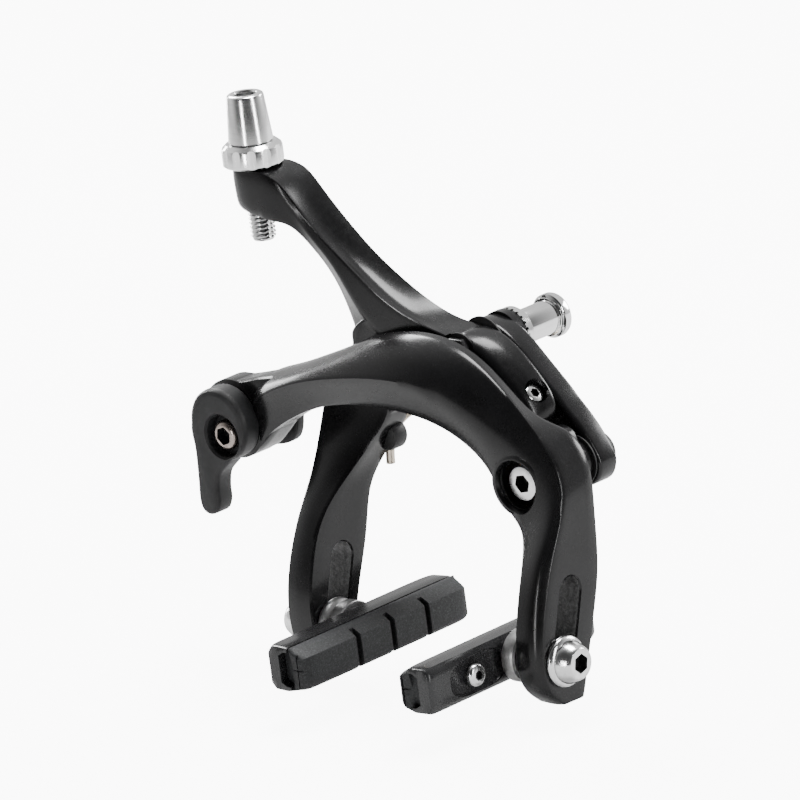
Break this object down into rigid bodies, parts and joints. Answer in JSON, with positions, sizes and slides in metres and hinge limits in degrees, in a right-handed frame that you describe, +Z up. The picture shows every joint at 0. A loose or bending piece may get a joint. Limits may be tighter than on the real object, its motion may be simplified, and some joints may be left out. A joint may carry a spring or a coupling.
{
  "type": "rim brake caliper",
  "caption": "Dual-pivot side-pull rim brake caliper with cartridge pads, quick-release lever, barrel adjuster and recessed mounting bolt.",
  "frame": {"origin": "on the mounting bolt axis at the rear face of the toothed washer, where the caliper seats on the fork crown", "axes": "+Z up, +Y backwards along the mounting bolt towards the fork, +X to the right seen from the front"},
  "size_m": [0.1172, 0.0812, 0.1304],
  "materials": {
    "gloss_black": "gloss",
    "satin_black": "satin",
    "bright_steel": "bright",
    "chrome": "polished",
    "polished_aluminium": "polished",
    "dark_steel": "oiled",
    "bronze": "satin",
    "nylon": "matt",
    "pad_rubber": "matt"
  },
  "bodies": {
    "bracket": {"bracket_plate": "gloss_black", "serrated_washer": "bright_steel", "mounting_bolt": "bright_steel", "centre_nut": "bright_steel", "hub_shim_rear": "nylon", "hub_shim_front": "nylon", "sleeve_nut": "chrome", "side_pivot_bolt": "bright_steel", "side_pivot_nut": "nylon", "pivot_shim": "nylon", "spring_stop": "bright_steel"},
    "y_arm_body": {"y_arm": "gloss_black", "hub_bushing": "bronze", "barrel_key": "nylon", "return_spring": "bright_steel", "spring_seat": "nylon"},
    "centring_screw_body": {"centring_screw": "bright_steel"},
    "adjuster_ring_body": {"adjuster_ring": "polished_aluminium"},
    "adjuster_barrel_body": {"adjuster_barrel": "polished_aluminium"},
    "c_arm_body": {"c_arm": "gloss_black", "contact_pin": "bright_steel", "pivot_bushing": "bronze"},
    "quick_release_body": {"quick_release_lever": "satin_black", "anchor_bolt": "dark_steel", "cable_clamp_plate": "dark_steel", "anchor_nut": "bright_steel"},
    "left_clamp_body": {"left_pad_bolt": "bright_steel", "left_flat_washer": "bright_steel", "left_convex_washer": "bright_steel", "left_concave_washer": "bright_steel"},
    "left_pad_body": {"left_pad_holder": "gloss_black", "left_pad_insert": "pad_rubber", "left_pad_set_screw": "bright_steel"},
    "right_clamp_body": {"right_pad_bolt": "bright_steel", "right_flat_washer": "bright_steel", "right_convex_washer": "bright_steel", "right_concave_washer": "bright_steel"},
    "right_pad_body": {"right_pad_holder": "gloss_black", "right_pad_insert": "pad_rubber", "right_pad_set_screw": "bright_steel"}
  },
  "joints": [
    {"name": "y_arm_pivot", "type": "hinge", "parent": "bracket", "child": "y_arm_body", "pos_m": [0, 0, 0], "axis": [0, -1, 0], "range_deg": [0, 6.5], "stiffness_Nm_per_rad": 0.8, "springref_deg": -8.59},
    {"name": "c_arm_pivot", "type": "hinge", "parent": "bracket", "child": "c_arm_body", "pos_m": [0.024, 0, -0.025], "axis": [0, 1, 0], "range_deg": [0, 11]},
    {"name": "centring_screw_turn", "type": "hinge", "parent": "y_arm_body", "child": "centring_screw_body", "pos_m": [0.0176, -0.0152, -0.0086], "axis": [0.7931, 0, 0.6091], "range_deg": [-180, 180]},
    {"name": "adjuster_ring_turn", "type": "hinge", "parent": "y_arm_body", "child": "adjuster_ring_body", "pos_m": [-0.0578, -0.019, 0.042], "axis": [0, 0, 1], "range_deg": [0, 1800]},
    {"name": "adjuster_barrel_slide", "type": "slide", "parent": "y_arm_body", "child": "adjuster_barrel_body", "axis": [0, 0, 1], "range_m": [0, 0.005]},
    {"name": "quick_release_turn", "type": "hinge", "parent": "c_arm_body", "child": "quick_release_body", "pos_m": [-0.0641, -0.03, -0.0189], "axis": [0, 1, 0], "range_deg": [0, 95]},
    {"name": "left_pad_height", "type": "slide", "parent": "y_arm_body", "child": "left_clamp_body", "axis": [0, 0.3173, 0.9483], "range_m": [0, 0.0154]},
    {"name": "left_pad_swivel", "type": "hinge", "parent": "left_clamp_body", "child": "left_pad_body", "pos_m": [-0.025, -0.0386, -0.062], "axis": [1, 0, 0], "range_deg": [-10, 10]},
    {"name": "right_pad_height", "type": "slide", "parent": "c_arm_body", "child": "right_clamp_body", "axis": [0, 0.3173, 0.9483], "range_m": [0, 0.0154]},
    {"name": "right_pad_swivel", "type": "hinge", "parent": "right_clamp_body", "child": "right_pad_body", "pos_m": [0.025, -0.0386, -0.062], "axis": [1, 0, 0], "range_deg": [-10, 10]}
  ],
  "couplings": [
    {"joint": "c_arm_pivot", "follows": "y_arm_pivot", "ratio": 1.69},
    {"joint": "adjuster_ring_turn", "follows": "adjuster_barrel_slide", "rad_per_m": 6283.2}
  ]
}
